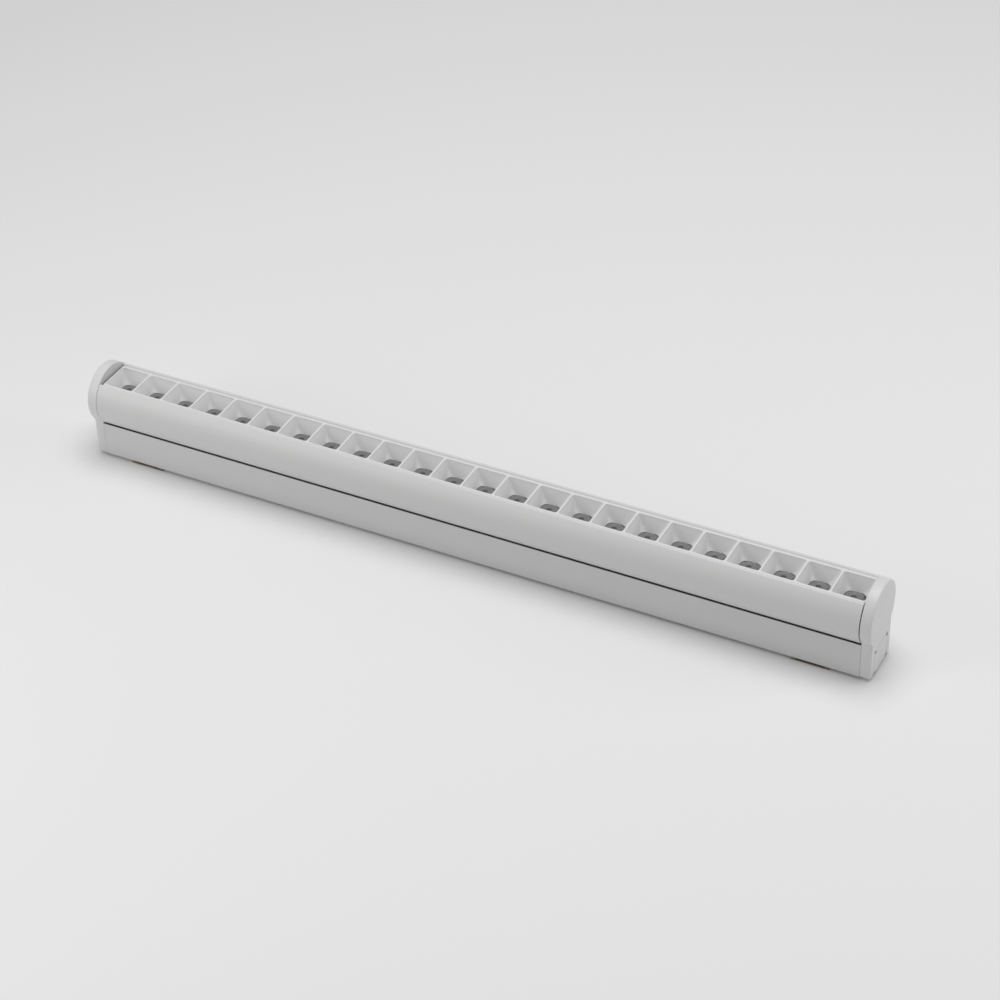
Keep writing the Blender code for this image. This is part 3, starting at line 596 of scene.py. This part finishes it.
# Lenses.
# A smoked acrylic strip lies under the louvre with one round lens in each hole: a dark, polished button
# with a well in its middle that drops over the LED. The strip itself is the moulded holder.
# Radius and height above the strip, then radius and depth below the lens's top, all in millimetres.
LENS_FLANGE = [(6.9, 0.0), (6.6, 0.25), (6.3, 0.3)]
LENS_CROWN = [(6.0, 0.9), (5.75, 0.35), (5.3, 0.05), (4.6, 0.0), (3.4, 0.3), (2.5, 0.42)]
LENS_WELL = [(1.9, 0.45), (1.75, 0.65), (1.55, 1.7), (0.6, 1.95)]
LENS_SIDES = 28
STRIP_FOOT_EASE = 0.2 * MM
STRIP_TOP_EASE = 0.3 * MM
strip_low, strip_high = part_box("lens_strip")
STRIP_TOP = louvre_low[2] - GAP


def lens_button():
    """A turned lens: flange, steep flank, rolled shoulder, dished top and a well in the middle."""
    top = strip_high[2]
    line = [(radius * MM, STRIP_TOP + rise * MM) for radius, rise in LENS_FLANGE]
    line += [(radius * MM, top - drop * MM) for radius, drop in LENS_CROWN + LENS_WELL]
    shape = bmesh.new()
    rings = []
    for radius, height in line:
        ring = []
        for number in range(LENS_SIDES):
            angle = 2 * math.pi * number / LENS_SIDES
            ring.append(shape.verts.new((radius * math.cos(angle), radius * math.sin(angle), height)))
        rings.append(ring)
    for outer, inner in zip(rings, rings[1:]):
        for number in range(LENS_SIDES):
            after = (number + 1) % LENS_SIDES
            shape.faces.new((outer[number], outer[after], inner[after], inner[number]))
    shape.faces.new(rings[-1])
    shape.faces.new(rings[0][::-1])
    mesh = bpy.data.meshes.new("lens_button")
    shape.to_mesh(mesh)
    shape.free()
    return mesh


smoked_acrylic = finish_with(
    "smoked_acrylic", coat_surface, (0.175, 0.175, 0.18),
    {"Grain Scale": 500.0, "Drift": 0.25, "Roughness": 0.30, "Mottle": 0.05, "Dust": 0.0}, 0.02, coat=0.2,
)
lens_mesh = repeated("lens_row", lens_button(), smoked_acrylic, CELLS, PITCH, (FIRST_CELL, CELL_SHIFT, 0.0))
lenses = shown("lens_row", lens_mesh, smoked_acrylic, 50.0)
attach(lenses, "head")
half_strip = (strip_high[1] - strip_low[1]) / 2
strip_foot = [(-half_strip, strip_low[2]), (half_strip, strip_low[2])]
strip_outline = eased(
    strip_foot + [(half_strip, STRIP_TOP), (-half_strip, STRIP_TOP)],
    {0: STRIP_FOOT_EASE, 1: STRIP_FOOT_EASE, 2: STRIP_TOP_EASE, 3: STRIP_TOP_EASE},
)
holder_mesh = drawn_out("lens_holder", strip_outline, [], strip_low[0], strip_high[0])
holder = shown("lens_holder", holder_mesh, smoked_acrylic)
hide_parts("lens_strip")
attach(holder, "head")


# End caps.
# Each cap is one satin white moulding: a disc that hides the end of the head, on a square foot that closes
# the base. A hub on its inner face carries the head, and a recess in its outer face takes the socket cover.
CAP_ROUND = 1.15 * MM
CAP_CORNER = 1.4 * MM
CAP_INNER_ROUND = 0.25 * MM
CAP_THICK = 7.5 * MM
HUB_RADIUS = 3.4 * MM
HUB_LENGTH = 5.0 * MM
LEAD_BORE = 2.0 * MM
COVER_RECESS = 1.9 * MM
COVER_TOP = 19.6 * MM
BLADE_HOLE = 2.4 * MM
WINDOW_HALF = 7.3 * MM
TONGUE_REACH = 9.0 * MM
TONGUE_THICK = 2.0 * MM
TONGUE_TOP = 7.6 * MM        # above the floor of the base's duct, as the next two are
WINDOW_TOP = 8.2 * MM
LEAD_WAY_LOW = 6.6 * MM      # the lead's way up to the hub starts here in the cap
LEAD_WAY_HIGH = 7.6 * MM     # and here in its inner face
LEAD_WAY_HALF = 1.5 * MM
LEAD_WAY_DEEP = 3.0 * MM
RECESS_OVERLAP = 0.2 * MM
GROOVE_OUTER = 14.9 * MM     # the curved groove that the stop pin runs in
GROOVE_INNER = 12.1 * MM
GROOVE_DEPTH = 2.6 * MM
GROOVE_START, GROOVE_END = -156.0, -24.0
cover_low, cover_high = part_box("socket_cover_right")
socket_low, socket_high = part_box("link_socket_right")
COVER_HALF = cover_high[1] + GAP

cap_plastic = finish_with(
    "cap_plastic", coat_surface, (0.67, 0.67, 0.67),
    {"Grain Scale": 2600.0, "Drift": 0.02, "Roughness": 0.40, "Mottle": 0.06, "Dust": 0.02}, 0.08,
)


def box_between(low, high):
    """A plain box between two corners."""
    outline = [(low[1], low[2]), (high[1], low[2]), (high[1], high[2]), (low[1], high[2])]
    return drawn_out("box", outline, [], low[0], high[0])


def cap_body(inner, outer):
    """The keyhole shape of a cap, with its outer rim well rounded and its inner rim just broken."""
    rim = math.degrees(math.acos(BASE_HALF / HEAD_RADIUS))
    foot = eased(
        [(-BASE_HALF, BASE_FOOT), (BASE_HALF, BASE_FOOT), (BASE_HALF, AXIS_Z), (-BASE_HALF, AXIS_Z)],
        {0: CAP_CORNER, 1: CAP_CORNER},
    )[:-2]
    outline = foot + arc(HEAD_RADIUS, -rim, 180.0 + rim, 144)
    mesh = drawn_out("cap", outline, [], inner, outer)
    shape = bmesh.new()
    shape.from_mesh(mesh)
    bmesh.ops.dissolve_limit(shape, angle_limit=0.0005, verts=shape.verts, edges=shape.edges)
    for x, width in ((outer, CAP_ROUND), (inner, CAP_INNER_ROUND)):
        rim_edges = []
        for edge in shape.edges:
            level = all(abs(dot.co.x - x) < 1e-6 for dot in edge.verts)
            if level and len(edge.link_faces) == 2 and edge.calc_face_angle() > 1.0:
                rim_edges.append(edge)
        bmesh.ops.bevel(shape, geom=rim_edges, offset=width, segments=5, profile=0.5, affect="EDGES")
    bmesh.ops.recalc_face_normals(shape, faces=shape.faces)
    shape.to_mesh(mesh)
    shape.free()
    return mesh


def make_end_cap(side, word):
    """One cap with its hub, tongues, recess and window, and the lead's way or the stop pin's groove."""
    low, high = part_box(f"end_cap_{word}")
    outer = high[0] if side > 0 else low[0]
    inner = side * (abs(outer) - CAP_THICK)
    hub = bar(HUB_RADIUS, inner - side * HUB_LENGTH, inner + side * MM, 0.0, 0.0, 64)
    adds = [hub]
    duct_floor = BASE_FOOT + RAIL_DEPTH + BASE_WALL
    for way in (-1, 1):
        far = way * (BASE_HALF - BASE_WALL - GAP)
        near = far - way * TONGUE_THICK
        key_low = (inner - side * TONGUE_REACH, min(near, far), duct_floor + GAP)
        adds.append(box_between(key_low, (inner + side * MM, max(near, far), duct_floor + TONGUE_TOP)))
    mesh = cut(cap_body(inner, outer), adds, "UNION")
    recess = outer - side * COVER_RECESS
    cuts = [
        box_between((recess, -COVER_HALF, 0.0), (outer + side * MM, COVER_HALF, BASE_FOOT + COVER_TOP)),
        box_between(
            (inner - side * MM, -WINDOW_HALF, duct_floor),
            (recess + side * MM, WINDOW_HALF, duct_floor + WINDOW_TOP),
        ),
    ]
    for way in (-1, 1):
        far = way * cover_high[1]
        near = far - way * BLADE_HOLE
        for foot, top in ((0.0, BASE_FOOT + BLADE_HOLE), (cover_high[2] - BLADE_HOLE, cover_high[2])):
            hole_low = (inner - side * MM, min(near, far), foot)
            cuts.append(box_between(hole_low, (recess + side * RECESS_OVERLAP, max(near, far), top)))
    if side < 0:
        deep = inner - LEAD_WAY_DEEP
        cuts.append(bar(LEAD_BORE, deep, inner + HUB_LENGTH + MM, 0.0, 0.0, 32))
        below_hub = AXIS_Z - HUB_RADIUS - GAP
        for start, face, top in (
            (LEAD_WAY_LOW, inner + MM, below_hub),
            (LEAD_WAY_HIGH, inner - GAP, AXIS_Z),
        ):
            way_low = (deep, -LEAD_WAY_HALF, duct_floor + start)
            cuts.append(box_between(way_low, (face, LEAD_WAY_HALF, top)))
    else:
        ring = arc(GROOVE_OUTER, GROOVE_START, GROOVE_END, 48)
        ring += arc(GROOVE_INNER, GROOVE_END, GROOVE_START, 48)
        cuts.append(drawn_out("groove", ring, [], inner - MM, inner + GROOVE_DEPTH))
    mesh = cut(mesh, cuts, "DIFFERENCE")
    cap = shown(f"end_cap_{word}_moulding", mesh, cap_plastic, 32.0)
    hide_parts(f"end_cap_{word}")
    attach(cap, "base")


make_end_cap(-1, "left")
make_end_cap(1, "right")


# Socket covers.
# A blank plate snaps into the recess of each cap, flush with its face, and comes off when battens are
# joined end to end. Its corners are nicked so that a blade can lift it.
NICK = 2.4 * MM
COVER_EASE = 0.1 * MM
COVER_BREAK = 0.2 * MM


def make_socket_cover(word):
    """One cover plate, square nicks cut out of its corners."""
    low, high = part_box(f"socket_cover_{word}")
    half, foot, top = high[1] - COVER_EASE, low[2], high[2] - COVER_EASE
    outline = [
        (-half + NICK, foot), (half - NICK, foot), (half - NICK, foot + NICK), (half, foot + NICK),
        (half, top - NICK), (half - NICK, top - NICK), (half - NICK, top), (-half + NICK, top),
        (-half + NICK, top - NICK), (-half, top - NICK), (-half, foot + NICK), (-half + NICK, foot + NICK),
    ]
    corners = {number: COVER_BREAK for number in range(len(outline))}
    mesh = drawn_out("cover", eased(outline, corners), [], low[0], high[0])
    cover = shown(f"socket_cover_{word}_plate", mesh, cap_plastic)
    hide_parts(f"socket_cover_{word}")
    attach(cover, "base")
    edge = cover.modifiers.new("edge", "BEVEL")
    edge.width = COVER_BREAK
    edge.segments = 2
    edge.limit_method = "ANGLE"


make_socket_cover("left")
make_socket_cover("right")


# Linking sockets and everything moulded in black nylon.
# A socket housing slides into each end of the duct behind its cover. The plugs that close the ends of the
# head are moulded in the same black nylon, and so are the fuse holder, the rectifier and the control chip.
black_nylon = finish_with(
    "black_nylon", coat_surface, (0.035, 0.035, 0.038),
    {"Grain Scale": 1800.0, "Drift": 0.15, "Roughness": 0.46, "Mottle": 0.10, "Dust": 0.05}, 0.20,
)


def refinish(material, *names):
    """CAD nodes whose shape is right take a detailed finish."""
    for name in names:
        node = frame["nodes"][name]
        node.data.materials.clear()
        node.data.materials.append(material)


refinish(black_nylon, "link_socket_left", "link_socket_right", "end_plug_left", "end_plug_right")
refinish(black_nylon, "fuse", "rectifier", "control_chip")


# Metal smalls.
# Tinned contacts in the sockets, zinc-plated screws and stop pin in the head's plugs, and sprung washers
# that give the tilt its friction. All are drawn, rolled or headed steel or brass, with fine draw lines.
def build_drawn_group():
    """Lines along X from drawing or rolling, for bright metal."""
    group = new_group(
        "drawn_metal",
        [("Line Scale", 700.0), ("Depth", 0.12), ("Roughness", 0.3)],
        ["Tone", "Roughness", "Height"],
    )
    nodes, links = group.nodes, group.links
    given = nodes.new("NodeGroupInput")
    result = nodes.new("NodeGroupOutput")
    place = nodes.new("ShaderNodeTexCoord")
    stretch = nodes.new("ShaderNodeMapping")
    stretch.inputs["Scale"].default_value = (0.03, 1.0, 1.0)
    links.new(place.outputs["Object"], stretch.inputs["Vector"])
    lines = nodes.new("ShaderNodeTexNoise")
    lines.inputs["Detail"].default_value = 4.0
    links.new(stretch.outputs["Vector"], lines.inputs["Vector"])
    links.new(given.outputs["Line Scale"], lines.inputs["Scale"])
    centred = math_node(group, "SUBTRACT", lines.outputs["Fac"], 0.5)
    swing_in = math_node(group, "MULTIPLY", centred, given.outputs["Depth"])
    links.new(math_node(group, "ADD", swing_in, 1.0), result.inputs["Tone"])
    links.new(math_node(group, "ADD", swing_in, given.outputs["Roughness"]), result.inputs["Roughness"])
    links.new(lines.outputs["Fac"], result.inputs["Height"])
    return group


drawn_metal = build_drawn_group()
tinned_brass = finish_with(
    "tinned_brass", drawn_metal, (0.78, 0.75, 0.66),
    {"Line Scale": 2200.0, "Depth": 0.2, "Roughness": 0.28}, 0.2, metallic=1.0,
)
zinc_plate = finish_with(
    "zinc_plate", drawn_metal, (0.66, 0.67, 0.69),
    {"Line Scale": 1500.0, "Depth": 0.3, "Roughness": 0.34}, 0.2, metallic=1.0,
)
for word in ("left", "right"):
    refinish(tinned_brass, *[f"socket_contact_{word}_{number}" for number in (1, 2, 3)])
    refinish(zinc_plate, *[f"plug_screw_{word}_{number}" for number in (1, 2)], f"friction_washer_{word}")
refinish(zinc_plate, "stop_pin")


# Mounting clips.
# Two pressed clips of rolled spring steel. Each is a plate the width of the base with one screw hole, a
# raised pad at each end, and two tongues bent up through the mouth of the T-slot and out over its lips.
CLIP_HOLE = 2.2 * MM
CLIP_STEEL = 0.8 * MM
CLIP_FOLD = 3.0 * MM
PAD_FOOT = 0.4 * MM          # a pad starts inside the plate's steel
CLIP_EASE = 0.2 * MM
HOOK_EASE = 0.3 * MM
BEND = 0.5 * MM
DRILL_DEPTH = 6 * MM
spring_steel = finish_with(
    "spring_steel", drawn_metal, (0.30, 0.24, 0.19),
    {"Line Scale": 900.0, "Depth": 0.35, "Roughness": 0.40}, 0.25, metallic=1.0,
)


def make_mounting_clip(word):
    """One clip: plate, pads and hooked tongues, with the screw hole drilled through."""
    low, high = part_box(f"mounting_clip_{word}")
    rise = RAIL_MOUTH - GAP - CLIP_STEEL
    hook = BASE_FOOT + RAIL_LIP + GAP
    reach = RAIL_INSIDE - GAP
    right = [
        (rise, CLIP_STEEL), (rise, hook + CLIP_STEEL), (reach, hook + CLIP_STEEL),
        (reach, hook), (rise + CLIP_STEEL, hook), (rise + CLIP_STEEL, CLIP_STEEL),
    ]
    left = [(-y, z) for y, z in reversed(right)]
    plate = [(low[1], 0.0), (high[1], 0.0), (high[1], CLIP_STEEL)]
    outline = plate + right[::-1] + left[::-1] + [(low[1], CLIP_STEEL)]
    radii = {corner: CLIP_EASE for corner in (0, 1, 2, 4, 13, 15)}
    radii.update({corner: HOOK_EASE for corner in (5, 6, 11, 12)})
    radii.update({7: BEND, 10: BEND})
    mesh = drawn_out("clip", eased(outline, radii), [], low[0], high[0])
    pads = []
    for start in (low[0], high[0] - CLIP_FOLD):
        pad = [(start, PAD_FOOT), (start + CLIP_FOLD, PAD_FOOT)]
        pad += [(start + CLIP_FOLD, BASE_FOOT - GAP), (start, BASE_FOOT - GAP)]
        lying = drawn_out("pad", eased(pad, {2: BEND, 3: BEND}), [], low[1], high[1])
        lying.transform(Matrix(((0, 1, 0, 0), (1, 0, 0, 0), (0, 0, 1, 0), (0, 0, 0, 1))))
        lying.flip_normals()
        pads.append(lying)
    mesh = cut(mesh, pads, "UNION")
    middle = (low[0] + high[0]) / 2
    drill = bmesh.new()
    bmesh.ops.create_cone(
        drill, cap_ends=True, segments=48, radius1=CLIP_HOLE, radius2=CLIP_HOLE, depth=DRILL_DEPTH,
    )
    bmesh.ops.translate(drill, verts=drill.verts, vec=(middle, 0.0, 0.0))
    hole = bpy.data.meshes.new("hole")
    drill.to_mesh(hole)
    drill.free()
    clip = shown(f"spring_clip_{word}", cut(mesh, [hole], "DIFFERENCE"), spring_steel)
    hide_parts(f"mounting_clip_{word}")
    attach(clip, f"clip_{word}")


make_mounting_clip("left")
make_mounting_clip("right")


# Boards.
# The LED board is a long aluminium strip under white solder resist, with its chips soldered along it. The
# driver's board is green glass-fibre laminate, whose copper tracks show faintly through the resist.
def build_board_group():
    """Tracks under solder resist: raised cells with a slightly lighter tone."""
    group = new_group(
        "board_tracks",
        [("Track Scale", 260.0), ("Contrast", 0.3), ("Roughness", 0.4)],
        ["Tone", "Roughness", "Height"],
    )
    nodes, links = group.nodes, group.links
    given = nodes.new("NodeGroupInput")
    result = nodes.new("NodeGroupOutput")
    place = nodes.new("ShaderNodeTexCoord")
    cells = nodes.new("ShaderNodeTexVoronoi")
    cells.distance = "CHEBYCHEV"
    cells.feature = "F1"
    links.new(place.outputs["Object"], cells.inputs["Vector"])
    links.new(given.outputs["Track Scale"], cells.inputs["Scale"])
    tracks = nodes.new("ShaderNodeMapRange")
    tracks.inputs["From Min"].default_value = 0.34
    tracks.inputs["From Max"].default_value = 0.40
    links.new(cells.outputs["Distance"], tracks.inputs["Value"])
    contrast = math_node(group, "MULTIPLY", tracks.outputs["Result"], given.outputs["Contrast"])
    links.new(math_node(group, "SUBTRACT", 1.0, contrast), result.inputs["Tone"])
    rougher = math_node(group, "MULTIPLY", contrast, 0.4)
    links.new(math_node(group, "ADD", rougher, given.outputs["Roughness"]), result.inputs["Roughness"])
    links.new(tracks.outputs["Result"], result.inputs["Height"])
    return group


board_tracks = build_board_group()
white_board = finish_with(
    "white_board", board_tracks, (0.82, 0.83, 0.81),
    {"Track Scale": 160.0, "Contrast": 0.08, "Roughness": 0.42}, 0.2,
)
green_board = finish_with(
    "green_board", board_tracks, (0.04, 0.20, 0.08),
    {"Track Scale": 260.0, "Contrast": 0.45, "Roughness": 0.38}, 0.3,
)
refinish(white_board, "led_board")
refinish(green_board, "driver_board")


# Driver parts.
# A tray of folded film insulates the driver from the aluminium duct. On the board stand the wound
# transformer in its yellow tape, a ferrite inductor, two sleeved capacitors and two grey terminal blocks.
def moulded(name, colour, grain, roughness, bump, drift=0.08):
    """A plain moulded or wrapped finish."""
    values = {"Grain Scale": grain, "Drift": drift, "Roughness": roughness, "Mottle": 0.08, "Dust": 0.03}
    return finish_with(name, coat_surface, colour, values, bump)


refinish(moulded("insulating_film", (0.78, 0.78, 0.74), 600.0, 0.38, 0.10), "driver_tray")
refinish(moulded("yellow_tape", (0.78, 0.58, 0.08), 900.0, 0.42, 0.15, 0.2), "transformer")
refinish(moulded("ferrite", (0.08, 0.08, 0.09), 1500.0, 0.62, 0.60, 0.2), "output_inductor")
capacitor_sleeve = moulded("capacitor_sleeve", (0.05, 0.06, 0.11), 700.0, 0.30, 0.08)
refinish(capacitor_sleeve, "input_capacitor", "output_capacitor")
terminal_grey = moulded("terminal_grey", (0.40, 0.41, 0.42), 1600.0, 0.48, 0.20)
refinish(terminal_grey, "input_terminal", "output_terminal")


# Leads.
# The head's supply is a soft grey lead that runs from the driver along the duct, up inside the left cap
# and through its hub into the head. It is whole inside the batten, so nothing of it hangs free.
refinish(moulded("lead_sheath", (0.60, 0.58, 0.54), 1100.0, 0.52, 0.15), "driver_lead", "head_lead")
